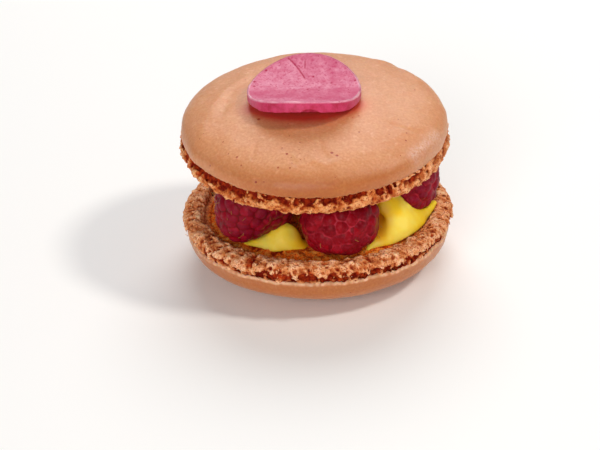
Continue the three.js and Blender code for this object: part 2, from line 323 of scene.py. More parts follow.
shellSizes = {
    "skinRadius": 36.3, "domeHeight": 11.2, "fullness": 2.5, "edgeRise": 1.1, "curl": 0.75,
    "sunkenDepth": 2.9, "sunkenRadius": 31.0, "segments": 560, "domeRings": 68,
    # the lip behind the rolled edge, as steps inwards and up from it
    "lip": [(0.25, -0.12), (0.5, 0.02), (1.1, 0.2), (2.4, 0.22)],
    # rings of the sunken flat: how many, and how far apart
    "flatRings": [(30, 0.45), (12, 1.4)],
    "swell": 0.24, "swellSize": 13.0, "dentSize": 5.5, "peel": 0.05, "peelSize": 1.7,
    "edgeWave": 0.5, "edgeWaveSize": 5.5, "edgeRagged": 0.2, "flare": 0.0,
    "crumbRelief": 0.45, "fibreSizes": (2.6, 1.1), "edgeRound": 0.9, "tableGap": 0.02,
    "folds": [], "onTable": False,
}
# soft ridges and creases of the upper skin, as bent lines seen from above with a width and a rise
upperFolds = [
    {"line": [(-19.0, 13.5), (-24.6, 5.5), (-27.6, -2.1), (-29.6, -8.3), (-30.2, -13.0)], "wide": 2.4,
     "rise": 0.34},
    {"line": [(-16.8, 12.8), (-21.4, 8.2), (-23.6, 2.4), (-24.9, -4.5)], "wide": 1.5, "rise": -0.3},
    {"line": [(0.9, -22.4), (1.6, -25.6), (2.8, -28.4)], "wide": 0.75, "rise": -0.34},
    {"line": [(-0.4, -29.4), (2.4, -31.2), (4.9, -30.2)], "wide": 1.1, "rise": 0.36},
    {"line": [(-6.8, -27.6), (-5.3, -30.4)], "wide": 0.6, "rise": -0.22},
    {"line": [(-15.9, -21.0), (-16.7, -26.7)], "wide": 0.5, "rise": -0.16},
    {"line": [(32.3, -12.4), (30.4, -16.9), (27.5, -21.1), (25.1, -24.1)], "wide": 1.5, "rise": 0.34},
    {"line": [(20.5, -14.2), (24.7, -15.4), (27.8, -15.9)], "wide": 0.8, "rise": -0.26},
    {"line": [(18.4, 25.0), (22.2, 25.4)], "wide": 1.7, "rise": 0.42},
    {"line": [(23.4, 23.6), (25.0, 19.8)], "wide": 1.5, "rise": -0.3},
    {"line": [(26.4, 18.0), (29.2, 13.0)], "wide": 1.6, "rise": 0.3},
]
# a crinkled streak on the right of the upper skin, with painted glints along it
crinkle = {"line": [(32.2, -13.4), (29.5, -17.9), (25.2, -24.0)], "wide": 1.3, "rise": 0.03, "size": 1.6}
# the painted shadow of the pink disc, as a bent line on the upper skin under its near edge; for each layer
# of it its strength, and how far from the line it starts to fade and has gone
discShadowLine = {
    "line": [(-14.6, -4.8), (-12.0, -6.9), (-8.0, -8.2), (-2.5, -8.9), (3.0, -8.6), (6.8, -7.0),
             (9.4, -5.0)],
    "layers": [(0.62, 2.2, 5.6), (0.3, 2.5, 8.5)],
}


def skinMesh(name, sizes, seed, browningAndShade, materials):
    # the smooth dome, its edge that curls under and the sunken flat behind it, with the dome up
    radius, height, inner, sunken = (
        sizes[key] for key in ("skinRadius", "domeHeight", "sunkenRadius", "sunkenDepth"))
    full, rise, curl = (sizes[key] for key in ("fullness", "edgeRise", "curl"))
    lift = np.linspace(math.pi / 2, 0, 4000)
    arcOut = radius * np.cos(lift) ** (2 / full)
    arcUp = rise + (height - rise) * np.sin(lift) ** (2 / full)
    run = np.concatenate([[0], np.cumsum(np.hypot(np.diff(arcOut), np.diff(arcUp)))])
    stops = run[-1] * np.sin(np.linspace(0, math.pi / 2, sizes["domeRings"])[1:]) ** 1.15
    profile = list(zip(np.interp(stops, run, arcOut), np.interp(stops, run, arcUp)))
    profile += [(radius - curl * (1 - math.cos(a)), rise * (1 - math.sin(a)))
                for a in np.linspace(0, math.pi / 2, 7)[1:]]
    onSkin = len(profile)
    edgeOut = radius - curl
    profile += [(edgeOut - back, lipRise) for back, lipRise in sizes["lip"]] + [(inner + 0.3, -0.9)]
    flatOut = inner
    for count, step in sizes["flatRings"]:
        profile += [(flatOut - step * k, -sunken) for k in range(count)]
        flatOut -= step * count
    out, up = np.array(profile).T
    turns = np.arange(sizes["segments"]) * 2 * math.pi / sizes["segments"]
    ring = np.stack([np.cos(turns), np.sin(turns), 0 * turns], axis=-1) * radius

    # the edge waves up and down and is ragged along its rim
    rimWave = roughness(ring, sizes["edgeWaveSize"], seed) + 0.5 * roughness(ring, 2.2, seed + 1)
    rimRagged = roughness(ring, 0.8, seed + 2)
    drop = sizes["edgeWave"] * rimWave * 0.6
    atEdge = 1 - smoothStep(np.abs(up - 0.1), 0.1, 0.9)
    onDome = (np.arange(len(out)) < onSkin).astype(float)
    nearEdge = np.where(out > inner + 3, 1 - smoothStep(up, 0.3, 3.6), 0.0)
    points = np.zeros((len(out), len(turns), 3))
    points[..., 0] = out[:, None] * np.cos(turns)
    points[..., 1] = out[:, None] * np.sin(turns)
    points[..., 2] = up[:, None] + nearEdge[:, None] * (drop[None, :] - 0.1)
    points[..., 2] += (atEdge * (out > edgeOut - 0.6))[:, None] * sizes["edgeRagged"] * rimRagged[None, :]

    # low swells, dents and goose-flesh, and the folds of the upper skin
    swell = sizes["swell"] * (roughness(points, sizes["swellSize"], seed + 3)
                              + 0.5 * roughness(points, sizes["dentSize"], seed + 4))
    swell += sizes["peel"] * roughness(points, sizes["peelSize"], seed + 7)
    for fold in sizes["folds"]:
        away = lineAway(points[..., 0], points[..., 1], fold["line"])
        swell += fold["rise"] * np.exp(-(away / fold["wide"]) ** 2)
    crinkleGlint, discShadow = np.zeros_like(swell), np.zeros_like(swell)
    if sizes["folds"]:
        # painted glints along the crinkle
        away = lineAway(points[..., 0], points[..., 1], crinkle["line"])
        crinkleGlint = np.exp(-(away / crinkle["wide"]) ** 2)
        swell += crinkle["rise"] * crinkleGlint * roughness(points, crinkle["size"], seed + 6)
        # the painted shadow of the pink disc, on the skin below its near edge
        away = lineAway(points[..., 0], points[..., 1], discShadowLine["line"])
        discShadow = sum(share * (1 - smoothStep(away, near, gone)) for share, near, gone in discShadowLine["layers"])
    slope = np.gradient(up) / np.maximum(np.hypot(np.gradient(out), np.gradient(up)), 1e-6)
    outShare = np.where(onDome > 0, np.abs(slope), 0.0)[:, None]
    points[..., 2] += onDome[:, None] * swell * (1 - outShare)
    push = onDome[:, None] * swell * outShare + nearEdge[:, None] * 0.12 * rimWave[None, :]
    push += sizes["flare"] * ((1 - smoothStep(up, -0.1, 2.6)) * (out > edgeOut - 0.6))[:, None]
    points[..., 0] += push * np.cos(turns)
    points[..., 1] += push * np.sin(turns)
    if sizes["onTable"]:
        points[..., 2] = np.minimum(points[..., 2], height - sizes["tableGap"])

    # the flat is torn crumb, and rises into the foot round its edge
    onFloor = (up <= -sunken + 0.01).astype(float)[:, None]
    flatPlace = points * (1.0, 1.0, 0.0)
    coarse, fine = sizes["fibreSizes"]
    fibres = roughness(flatPlace, coarse, seed + 5) + 0.8 * roughness(flatPlace, fine, seed)
    points[..., 2] -= onFloor * sizes["crumbRelief"] * fibres
    points[..., 2] += onFloor * sizes["edgeRound"] * smoothStep(out, inner - 4.5, inner)[:, None]
    # browner low on the dome, partly baked colour and partly painted shade, most on the side towards the
    # camera
    lowDown = (1 - smoothStep(up, 3.0, 7.5))[:, None]
    nearSide = np.clip(browningAndShade["near"] * points[..., 1] / radius, 0, 1)
    # a painted highlight along the ragged rolled edge
    edgeMark = (atEdge * onDome)[:, None] * np.clip(0.75 + 0.5 * rimRagged, 0, 1)[None, :]
    layers = {
        "pit": np.where(onFloor > 0, np.clip(0.15 - 0.4 * fibres, 0, 0.6), 1.0),
        "hollow": onFloor * np.ones_like(swell),
        "brown": onDome[:, None] * (browningAndShade["all"] + browningAndShade["rim"] * lowDown
                                    * (0.2 + 0.8 * nearSide ** 3)),
        "edge": browningAndShade["edge"] * edgeMark, "crinkleGlint": crinkleGlint, "discShadow": discShadow,
    }
    rows = [0 if k < onSkin - 1 else 1 for k in range(len(out))]
    return spunMesh(name, tuple(points[0].mean(0)), points, (0.0, 0.0, -sunken), layers, materials, rows)


crumbSizes = {
    "Foot Radius": 38.0, "Foot Depth": 5.5, "Crest Radius": 33.5, "Sunken Depth": 2.9, "Skin Radius": 36.3,
    "Voxel": 0.34, "Lump": 0.42, "Grain": 0.26, "Bubble": 1.25, "Cavity": 1.3, "Tear Share": 0.44,
    "Tear Toward": (0.0, 0.0, 0.0), "Tear Out": 0.0, "Tear Down": 0.45, "Crack": 0.5, "Seed": 3.0,
    # the last line darkens the crumb: browning all round, and painted shade towards one side
    "Baked": 0.0, "Shade Toward": (0.0, 0.0, 0.0),
}
# the rounded rings inside the foot, how far in, how low and how thick they are, and the slab that joins
# them round the hollow
footForm = {
    "footIn": 2.75, "footLow": 2.8, "footThick": 2.6, "crestUp": 2.0, "crestThick": 1.9,
    "edgeIn": 0.9, "edgeLow": 0.6, "edgeThick": 1.3, "ringBlend": 1.5,
    "slabOut": 34.8, "slabIn": 29.8, "slabTop": 0.35, "slabBlend": 1.2,
    "hollowFrom": 32.4, "hollowTo": 30.2,
    # voxels beyond the foot: to the side, below and above
    "roomOut": 1.6, "roomLow": 1.4, "roomTop": 1.2,
}


def crumbTree(sizes, form, material):
    # the open crumb of the foot, dome up, as the level surface of a distance field in mm
    tree, add, given = newTree("meringueFoot", sizes)
    here = add("GeometryNodeInputPosition")
    height = add("ShaderNodeSeparateXYZ", [here]).outputs["Z"]
    radius = axisAway(add, here)
    seedShift = add("ShaderNodeVectorMath", {0: (13.1, 7.7, 3.3), 3: given["Seed"]}, operation="SCALE")
    grainPlace = add("ShaderNodeVectorMath", [here, seedShift], operation="ADD")
    flat = add("ShaderNodeVectorMath", [here, (1.0, 1.0, 0.0)], operation="MULTIPLY")
    outward = add("ShaderNodeVectorMath", [flat], operation="NORMALIZE")

    def ringAway(middle, low):
        # distance to a level ring round the axis
        side = add("ShaderNodeMath", [radius, middle], operation="SUBTRACT")
        down = add("ShaderNodeMath", [height, low], operation="ADD")
        across = add("ShaderNodeCombineXYZ", [side, down, 0.0])
        return add("ShaderNodeVectorMath", [across], operation="LENGTH")

    # the rounded rings of the foot, of its crest and of the edge of the skin, and the slab that joins them
    footRing = add("ShaderNodeMath", [given["Foot Radius"], form["footIn"]], operation="SUBTRACT")
    edgeRing = add("ShaderNodeMath", [given["Skin Radius"], form["edgeIn"]], operation="SUBTRACT")
    crestLow = add("ShaderNodeMath", [given["Foot Depth"], form["crestUp"]], operation="SUBTRACT")
    rings = None
    for middle, low, thick in ((footRing, form["footLow"], form["footThick"]),
                               (given["Crest Radius"], crestLow, form["crestThick"]),
                               (edgeRing, form["edgeLow"], form["edgeThick"])):
        tube = add("ShaderNodeMath", [ringAway(middle, low), thick], operation="SUBTRACT")
        rings = tube if rings is None else add("ShaderNodeMath", [rings, tube, form["ringBlend"]],
                                               operation="SMOOTH_MIN")
    slabOut = add("ShaderNodeMath", [radius, form["slabOut"]], operation="SUBTRACT")
    slabIn = add("ShaderNodeMath", [form["slabIn"], radius], operation="SUBTRACT")
    slabDeep = add("ShaderNodeMath", [height, given["Sunken Depth"]], operation="ADD")
    slabLow = add("ShaderNodeMath", [slabDeep, -1.0], operation="MULTIPLY")
    slabHigh = add("ShaderNodeMath", [height, form["slabTop"]], operation="SUBTRACT")
    slab = slabOut
    for limit in (slabLow, slabIn, slabHigh):
        slab = add("ShaderNodeMath", [slab, limit], operation="MAXIMUM")
    body = add("ShaderNodeMath", [rings, slab, form["slabBlend"]], operation="SMOOTH_MIN")

    # lumps of 2.5 mm and grains of 1 and 0.5 mm, rounded with creases between, quieter towards the hollow
    hollow = add("ShaderNodeMapRange", [radius, form["hollowFrom"], form["hollowTo"], 0.0, 1.0],
                 interpolation_type="SMOOTHSTEP")
    warp = add("ShaderNodeTexNoise", {"Vector": grainPlace, "Scale": 0.5, "Detail": 1.0})
    warpShift = add("ShaderNodeVectorMath", {0: warp.outputs["Color"], 3: 2.6}, operation="SCALE")
    warped = add("ShaderNodeVectorMath", [grainPlace, warpShift], operation="ADD")
    bulges = None
    fineGrain = add("ShaderNodeMath", [given["Grain"], 0.5], operation="MULTIPLY")
    for scale, size in ((0.4, given["Lump"]), (1.0, given["Grain"]), (1.9, fineGrain)):
        cells = add("ShaderNodeTexVoronoi", {"Vector": warped, "Scale": scale})
        shape = add("ShaderNodeMapRange", [cells.outputs["Distance"], 0.0, 0.8, -1.0, 1.0])
        bulge = add("ShaderNodeMath", [shape, size], operation="MULTIPLY")
        bulges = bulge if bulges is None else add("ShaderNodeMath", [bulges, bulge], operation="ADD")
    quiet = add("ShaderNodeMapRange", [hollow, 0.0, 1.0, 1.0, 0.5])
    lumps = add("ShaderNodeMath", [bulges, quiet], operation="MULTIPLY")
    lumpy = add("ShaderNodeMath", [body, lumps], operation="ADD")

    # bubbles: round pits of mixed size, small ones and fewer large ones, none sealed deep inside
    holes = None
    for share, least, most, axis in ((1.0, 0.1, 0.7, "X"), (2.2, -0.45, 1.05, "Y")):
        cell = add("ShaderNodeMath", [given["Bubble"], share], operation="MULTIPLY")
        scale = add("ShaderNodeMath", [1.0, cell], operation="DIVIDE")
        cells = add("ShaderNodeTexVoronoi", {"Vector": grainPlace, "Scale": scale})
        away = add("ShaderNodeMath", [cells.outputs["Distance"], cell], operation="MULTIPLY")
        mixed = add("ShaderNodeSeparateXYZ", [cells.outputs["Color"]]).outputs[axis]
        ball = add("ShaderNodeMapRange", [mixed, 0.2, 1.0, least, most])
        pit = add("ShaderNodeMath", [ball, away], operation="SUBTRACT")
        holes = pit if holes is None else add("ShaderNodeMath", [holes, pit], operation="MAXIMUM")
    calm = add("ShaderNodeMath", [hollow, -0.3, holes], operation="MULTIPLY_ADD")
    inside = add("ShaderNodeMath", [body, 0.7], operation="ADD")
    sealed = add("ShaderNodeMath", [inside, 0.0], operation="MINIMUM")
    calm = add("ShaderNodeMath", [sealed, 1.6, calm], operation="MULTIPLY_ADD")

    # cavities torn open under the edge of the skin, with thin bridges between them, more on one side
    tearPlace = add("ShaderNodeVectorMath", [grainPlace, (1.0, 1.0, 0.7)], operation="MULTIPLY")
    tearNoise = add("ShaderNodeTexNoise", {"Vector": tearPlace, "Scale": 0.5, "Detail": 2.0})
    tearSide = add("ShaderNodeVectorMath", [outward, given["Tear Toward"]],
                   operation="DOT_PRODUCT")
    tearMore = add("ShaderNodeMath", [tearNoise, tearSide], operation="ADD")
    tearShift = add("ShaderNodeMath", [tearMore, given["Tear Share"]], operation="SUBTRACT")
    tearSize = add("ShaderNodeMapRange", [tearShift, -0.09, 0.07, -0.3, given["Cavity"]])
    tearRadius = add("ShaderNodeMath", [given["Skin Radius"], given["Tear Out"]], operation="ADD")
    tearLow = add("ShaderNodeMath", [warp, 1.4, given["Tear Down"]], operation="MULTIPLY_ADD")
    tears = add("ShaderNodeMath", [tearSize, ringAway(tearRadius, tearLow)], operation="SUBTRACT")
    tearsRough = add("ShaderNodeMath", [bulges, 1.2, tears], operation="MULTIPLY_ADD")

    # a few cracks run up and over the foot
    wander = add("ShaderNodeVectorMath", {0: grainPlace, 3: 0.12}, operation="SCALE")
    onRim = add("ShaderNodeVectorMath", {0: outward, 3: given["Skin Radius"]}, operation="SCALE")
    rimPlace = add("ShaderNodeVectorMath", [onRim, wander], operation="ADD")
    crackNoise = add("ShaderNodeTexNoise", {"Vector": rimPlace, "Scale": 0.05, "Detail": 2.0})
    crackLine = add("ShaderNodeMath", [crackNoise, 0.5], operation="SUBTRACT")
    crackAway = add("ShaderNodeMath", [crackLine], operation="ABSOLUTE")
    crackDeep = add("ShaderNodeMapRange", [crackAway, 0.0, 0.008, given["Crack"], 0.0])
    cracked = add("ShaderNodeMath", [lumpy, crackDeep], operation="ADD")

    opened = add("ShaderNodeMath", [calm, tearsRough], operation="MAXIMUM")
    whole = add("ShaderNodeMath", [cracked, opened, 0.1], operation="SMOOTH_MAX")
    for limit in (slabHigh, slabIn):
        whole = add("ShaderNodeMath", [whole, limit], operation="MAXIMUM")

    # the box of voxels, a little larger than the foot
    wide = add("ShaderNodeMath", [given["Foot Radius"], form["roomOut"]], operation="ADD")
    deep = add("ShaderNodeMath", [given["Foot Depth"], form["roomLow"]], operation="ADD")
    reach = add("ShaderNodeCombineXYZ", [wide, wide, deep])
    lowCorner = add("ShaderNodeVectorMath", {0: reach, 3: -1.0}, operation="SCALE")
    highCorner = add("ShaderNodeCombineXYZ", [wide, wide, form["roomTop"]])

    # what the material reads: depth in the crumb, painted darker as shade, the hollow side, and how brown
    # it is, painted shade towards one side
    depth = add("ShaderNodeMapRange", [body, 0.25, -1.0, 0.0, 1.0])
    shadeSide = add("ShaderNodeVectorMath", [outward, given["Shade Toward"]],
                    operation="DOT_PRODUCT")
    shadeMore = add("ShaderNodeMath", [shadeSide, 0.0], operation="MAXIMUM")
    bakedAndShaded = add("ShaderNodeMath", [shadeMore, given["Baked"]], operation="ADD")
    surface = fieldSurface(add, whole, lowCorner, highCorner, given["Voxel"],
                           {"pit": depth, "hollow": hollow, "brown": bakedAndShaded}, adaptivity=0.02)
    endTree(add, surface, material)
    return tree


driedSkin = skinMaterial(meringueLook)
openCrumb = crumbMaterial(meringueLook)
crumbGrower = crumbTree(crumbSizes, footForm, openCrumb)

# the lower shell stands on its dome, and the upper one lies tilted on the filling
stack = {"tilt": 4.9, "shift": -0.3, "rise": 39.5}
upperTilt = math.radians(stack["tilt"])
lowCorner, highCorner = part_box("shell_bottom")
lowerAxis = (lowCorner + highCorner) / 2
lowerPlace = Vector((lowerAxis.x, lowerAxis.y, shellSizes["domeHeight"] * mm))
upperPlace = Vector((lowerAxis.x + stack["shift"] * mm, lowerAxis.y, stack["rise"] * mm))
# for each shell: browning that is partly painted shade, a painted highlight along its edge, and painted
# shade on the front of the upper foot
shells = {
    "shell_bottom": {"name": "lower", "place": lowerPlace, "turn": math.pi, "seed": 3,
                     "browningAndShade": {"all": 0.55, "rim": 0.3, "near": 1.0, "edge": 0.9},
                     "skin": {"flare": 0.6, "edgeRagged": 0.35, "onTable": True},
                     "foot": {"Tear Toward": (0.06, 0.03, 0.0), "Tear Out": 0.9, "Tear Down": 0.3,
                              "Tear Share": 0.47, "Cavity": 1.6}},
    "shell_top": {"name": "upper", "place": upperPlace, "turn": upperTilt, "seed": 11,
                  "browningAndShade": {"all": 0.0, "rim": 1.0, "near": -1.0, "edge": 0.15},
                  "skin": {"domeHeight": 10.0, "folds": upperFolds},
                  "foot": {"Foot Radius": 37.2, "Cavity": 1.12, "Crack": 0.0, "Lump": 0.5,
                           "Tear Share": 0.5, "Tear Out": 0.3, "Tear Down": 0.1,
                           "Tear Toward": (-0.08, -0.045, 0.0), "Shade Toward": (-0.1, -0.7, 0.0)}},
}
for node, shell in shells.items():
    toPlace = Matrix.Translation(shell["place"]) @ Matrix.Rotation(shell["turn"], 4, "X")
    skinName = shell["name"] + "Skin"
    skinPiece = addObject(skinName, skinMesh(skinName, {**shellSizes, **shell["skin"]}, shell["seed"],
                                             shell["browningAndShade"], [driedSkin, openCrumb]))
    foot = {**crumbSizes, **shell["foot"], "Seed": float(shell["seed"])}
    crumbPiece = growPiece(shell["name"] + "Crumb", crumbGrower, foot, openCrumb)
    for piece in (skinPiece, crumbPiece):
        piece.data.transform(toPlace @ Matrix.Scale(mm, 4))
        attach(piece, "root")
        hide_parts(node)
    print(shell["name"], "shell", len(skinPiece.data.polygons), len(crumbPiece.data.polygons))


# raspberries: drupelets on a barrel form, a few dried styles

raspberryLook = {
    "flesh": "#6c020c", "fleshDeep": "#520206", "fleshBright": "#900614", "seam": "#be2e3e",
    "bloom": "#8a2240", "fuzz": "#b83850", "style": "#b07a3a",
}


def raspberryMaterial(look):
    # fresh fruit skin: dark and moist with a soft gloss, painted sheen on the tops, painted seams, and
    # fine down
    material, add, tones = newMaterial("freshRaspberry", look)
    place = add("ShaderNodeTexCoord").outputs["Object"]
    crease, vary, seam, bloom, style = (add("ShaderNodeAttribute", attribute_name=label).outputs["Fac"]
                                        for label in ("crease", "vary", "seam", "bloom", "style"))
    # a painted sheen lies on the tops of the drupelets, in patches of 1.7 mm
    mottle = add("ShaderNodeTexNoise", {"Vector": place, "Scale": 600.0, "Detail": 2.0})
    top = add("ShaderNodeMapRange", [crease, 0.1, 0.5, 1.0, 0.0])
    sheenTop = add("ShaderNodeMath", [top, bloom], operation="MULTIPLY")
    sheenPatch = add("ShaderNodeMath", [sheenTop, mottle], operation="MULTIPLY")
    # seams between drupelets: a painted highlight on some berries, painted shade on others
    seamBand = add("ShaderNodeMapRange", [crease, 0.36, 0.72, 0.0, 1.0])
    seamTone = add("ShaderNodeMix", {0: seam, 6: tones["fleshDeep"], 7: tones["seam"]}, data_type="RGBA")
    # fine down on the berries with pale seams, drawn as coarse as it needs to show
    down = add("ShaderNodeTexNoise", {"Vector": place, "Scale": 1700.0, "Detail": 3.0})
    downRange = add("ShaderNodeMapRange", [down, 0.5, 0.68, 0.0, 0.22])
    downShare = add("ShaderNodeMath", [downRange, seam], operation="MULTIPLY")

    # each drupelet ripens a little differently, and the rest lies over that
    colour = tones["flesh"]
    for share, tone in ((vary, tones["fleshBright"]), (sheenPatch, tones["bloom"]),
                        (seamBand, seamTone), (downShare, tones["fuzz"]), (style, tones["style"])):
        colour = add("ShaderNodeMix", {0: share, 6: colour, 7: tone}, data_type="RGBA")
    finger = add("ShaderNodeBump", {"Strength": 0.5, "Distance": 0.15 * mm, "Height": mottle})
    wrinkle = add("ShaderNodeBump",
                  {"Strength": 0.2, "Distance": 0.1 * mm, "Height": down, "Normal": finger})
    shader = add("ShaderNodeBsdfPrincipled", {
        "Base Color": colour, "Roughness": 0.4, "Specular IOR Level": 0.08,
        "Subsurface Weight": 0.35, "Subsurface Scale": 1.0,
        "Subsurface Radius": (2.0 * mm, 0.4 * mm, 0.3 * mm), "Normal": wrinkle})
    add("ShaderNodeOutputMaterial", {"Surface": shader})
    return material


raspberrySizes = {
    "Half Width": 10.5, "Half Height": 9.9, "Fullness": 2.25,
    "Count": 150, "Drupelet": 2.75, "Uneven": 0.11, "Voxel": 0.24,
    "Styles": 0.12, "Style Length": 2.4, "Style Thick": 0.06,
    "Seam": 0.5, "Bloom": 0.5, "Seed": 1, "Swell": (0.0, 0.0, 0.0), "Taper": (0.0, 0.0, 0.0),
    "Place": (0.0, 0.0, 0.0), "Turn": (0.0, 0.0, 0.0),
}
goldenAngle = 2.39996
# how far a berry is taller than its node's box at each end, where it presses into crumb and cream, in mm
berryPress = 0.2


def bentShare(add, point, share, swell, taper):
    # the form bulges on the side that the swell points to and draws in on the side of the taper
    aim = add("ShaderNodeVectorMath", [point], operation="NORMALIZE")
    for toward, sign in ((swell, 1.0), (taper, -1.0)):
        side = add("ShaderNodeVectorMath", [aim, toward], operation="DOT_PRODUCT")
        ahead = add("ShaderNodeMath", [side, 0.0], operation="MAXIMUM")
        signed = add("ShaderNodeMath", [ahead, sign], operation="MULTIPLY")
        grown = add("ShaderNodeMath", [signed, ahead, 1.0], operation="MULTIPLY_ADD")
        share = add("ShaderNodeMath", [share, grown], operation="DIVIDE")
    return share


def raspberryTree(sizes, material):
    # a barrel of drupelets as the level surface of a distance field in mm, with a few hairs
    tree, add, given = newTree("raspberry", sizes)

    def formShare(point, wide, tall):
        # 1 on the barrel form, less inside it
        up = add("ShaderNodeSeparateXYZ", [point]).outputs["Z"]
        upSize = add("ShaderNodeMath", [up], operation="ABSOLUTE")
        powers = []
        for size, half in ((axisAway(add, point), wide), (upSize, tall)):
            part = add("ShaderNodeMath", [size, half], operation="DIVIDE")
            powers.append(add("ShaderNodeMath", [part, given["Fullness"]], operation="POWER"))
        both = add("ShaderNodeMath", powers, operation="ADD")
        root = add("ShaderNodeMath", [1.0, given["Fullness"]], operation="DIVIDE")
        share = add("ShaderNodeMath", [both, root], operation="POWER")
        return bentShare(add, point, share, given["Swell"], given["Taper"])

    # drupelet centres wind round the form by the golden angle, each a little astray
    order = add("GeometryNodeInputIndex")
    halfWay = add("ShaderNodeMath", [order, 0.5], operation="ADD")
    share = add("ShaderNodeMath", [halfWay, given["Count"]], operation="DIVIDE")
    up = add("ShaderNodeMath", [share, -2.0, 1.0], operation="MULTIPLY_ADD")
    upSquare = add("ShaderNodeMath", [up, up], operation="MULTIPLY")
    outSquare = add("ShaderNodeMath", [1.0, upSquare], operation="SUBTRACT")
    out = add("ShaderNodeMath", [outSquare], operation="SQRT")
    angle = add("ShaderNodeMath", [order, goldenAngle, given["Seed"]], operation="MULTIPLY_ADD")
    sides = []
    for wave in ("COSINE", "SINE"):
        turned = add("ShaderNodeMath", [angle], operation=wave)
        sides.append(add("ShaderNodeMath", [out, turned], operation="MULTIPLY"))
    rayPoint = add("ShaderNodeCombineXYZ", [*sides, up])
    highest = add("ShaderNodeCombineXYZ", [given["Uneven"]] * 3)
    lowest = add("ShaderNodeVectorMath", {0: highest, 3: -1.0}, operation="SCALE")
    stray = add("FunctionNodeRandomValue", {"Min": lowest, "Max": highest, "Seed": given["Seed"]},
                data_type="FLOAT_VECTOR")
    strayed = add("ShaderNodeVectorMath", [rayPoint, stray], operation="ADD")
    ray = add("ShaderNodeVectorMath", [strayed], operation="NORMALIZE")
    wideIn = add("ShaderNodeMath", [given["Half Width"], given["Drupelet"]], operation="SUBTRACT")
    tallIn = add("ShaderNodeMath", [given["Half Height"], given["Drupelet"]], operation="SUBTRACT")
    reach = add("ShaderNodeMath", [1.0, formShare(ray, wideIn, tallIn)], operation="DIVIDE")
    centre = add("ShaderNodeVectorMath", {0: ray, 3: reach}, operation="SCALE")
    points = add("GeometryNodePoints", {"Count": given["Count"], "Position": centre})

    # distance to the nearest drupelet centre, over a core that closes the gaps
    here = add("GeometryNodeInputPosition")
    near = add("GeometryNodeProximity", {0: points, 2: here}, target_element="POINTS")
    drupelets = add("ShaderNodeMath", [near.outputs["Distance"], given["Drupelet"]], operation="SUBTRACT")
    coreWide, coreTall = (
        add("ShaderNodeMath", [given["Drupelet"], -0.3, given[half]], operation="MULTIPLY_ADD")
        for half in ("Half Width", "Half Height"))
    coreOut = add("ShaderNodeMath", [formShare(here, coreWide, coreTall), 1.0], operation="SUBTRACT")
    core = add("ShaderNodeMath", [coreOut, coreWide], operation="MULTIPLY")
    whole = add("ShaderNodeMath", [drupelets, core, 0.25], operation="SMOOTH_MIN")
    swellSize = add("ShaderNodeVectorMath", [given["Swell"], given["Swell"]], operation="DOT_PRODUCT")
    wider = add("ShaderNodeMath", [swellSize, 1.0], operation="ADD")
    wide = add("ShaderNodeMath", [given["Half Width"], wider, 0.6], operation="MULTIPLY_ADD")
    tall = add("ShaderNodeMath", [given["Half Height"], 0.6], operation="ADD")
    highCorner = add("ShaderNodeCombineXYZ", [wide, wide, tall])
    lowCorner = add("ShaderNodeVectorMath", {0: highCorner, 3: -1.0}, operation="SCALE")

    # what the material reads: creases, where the skin lies under its own average, and a number for each
    # drupelet
    average = add("GeometryNodeBlurAttribute", {"Value": here, "Iterations": 5}, data_type="FLOAT_VECTOR")
    lift = add("ShaderNodeVectorMath", [average, here], operation="SUBTRACT")
    facing = add("GeometryNodeInputNormal")
    under = add("ShaderNodeVectorMath", [lift, facing], operation="DOT_PRODUCT")
    crease = add("ShaderNodeMapRange", [under, -0.04, 0.1, 0.0, 1.0])
    number = add("ShaderNodeTexWhiteNoise", [near.outputs["Position"]]).outputs["Value"]
    surface = fieldSurface(add, whole, lowCorner, highCorner, given["Voxel"],
                           {"crease": crease, "vary": number, "style": 0.0})

    # dried styles standing out between the drupelets
    pick = add("FunctionNodeRandomValue", {"Probability": given["Styles"], "Seed": given["Seed"]},
               data_type="BOOLEAN")
    rise = add("GeometryNodeCurvePrimitiveBezierSegment", {
        "Resolution": 5, "Start": (0.0, 0.0, 0.0), "Start Handle": (0.0, 0.0, 0.5),
        "End Handle": (0.0, 0.25, 0.8), "End": (0.0, 0.55, 1.0)})
    thickShare = add("ShaderNodeMath", [given["Style Thick"], given["Style Length"]], operation="DIVIDE")
    ringShape = add("GeometryNodeCurvePrimitiveCircle", {"Resolution": 4, "Radius": thickShare})
    hair = add("GeometryNodeCurveToMesh", {"Curve": rise, "Profile Curve": ringShape, "Fill Caps": True})
    spin = add("FunctionNodeRandomValue",
               {"Min": (-0.5, -0.5, 0.0), "Max": (0.5, 0.5, 6.28), "Seed": given["Seed"]},
               data_type="FLOAT_VECTOR")
    spinTurn = add("FunctionNodeEulerToRotation", [spin])
    outAxis = add("FunctionNodeAlignRotationToVector", {"Vector": here}, axis="Z")
    stand = add("FunctionNodeRotateRotation", [outAxis, spinTurn], rotation_space="LOCAL")
    proud = add("ShaderNodeVectorMath", {0: here, 3: 1.12}, operation="SCALE")
    moved = add("GeometryNodeSetPosition", {"Geometry": points, "Position": proud})
    hairs = add("GeometryNodeInstanceOnPoints", {
        "Points": moved, "Selection": pick.outputs[3], "Instance": hair, "Rotation": stand,
        "Scale": given["Style Length"]})
    hairsReal = add("GeometryNodeRealizeInstances", [hairs])
    marked = add("GeometryNodeStoreNamedAttribute", {"Geometry": hairsReal, "Name": "style", "Value": 1.0},
                 data_type="FLOAT", domain="POINT")
    joined = add("GeometryNodeJoinGeometry", [surface])
    tree.links.new(marked.outputs[0], joined.inputs[0])
    for label in ("Seam", "Bloom"):
        joined = add("GeometryNodeStoreNamedAttribute",
                     {"Geometry": joined, "Name": label.lower(), "Value": given[label]},
                     data_type="FLOAT", domain="POINT")
    turn = add("FunctionNodeEulerToRotation", [given["Turn"]])
    placed = add("GeometryNodeTransform", {"Geometry": joined, "Translation": given["Place"],
                                           "Rotation": turn, "Scale": (mm, mm, mm)})
    endTree(add, placed, material)
    return tree


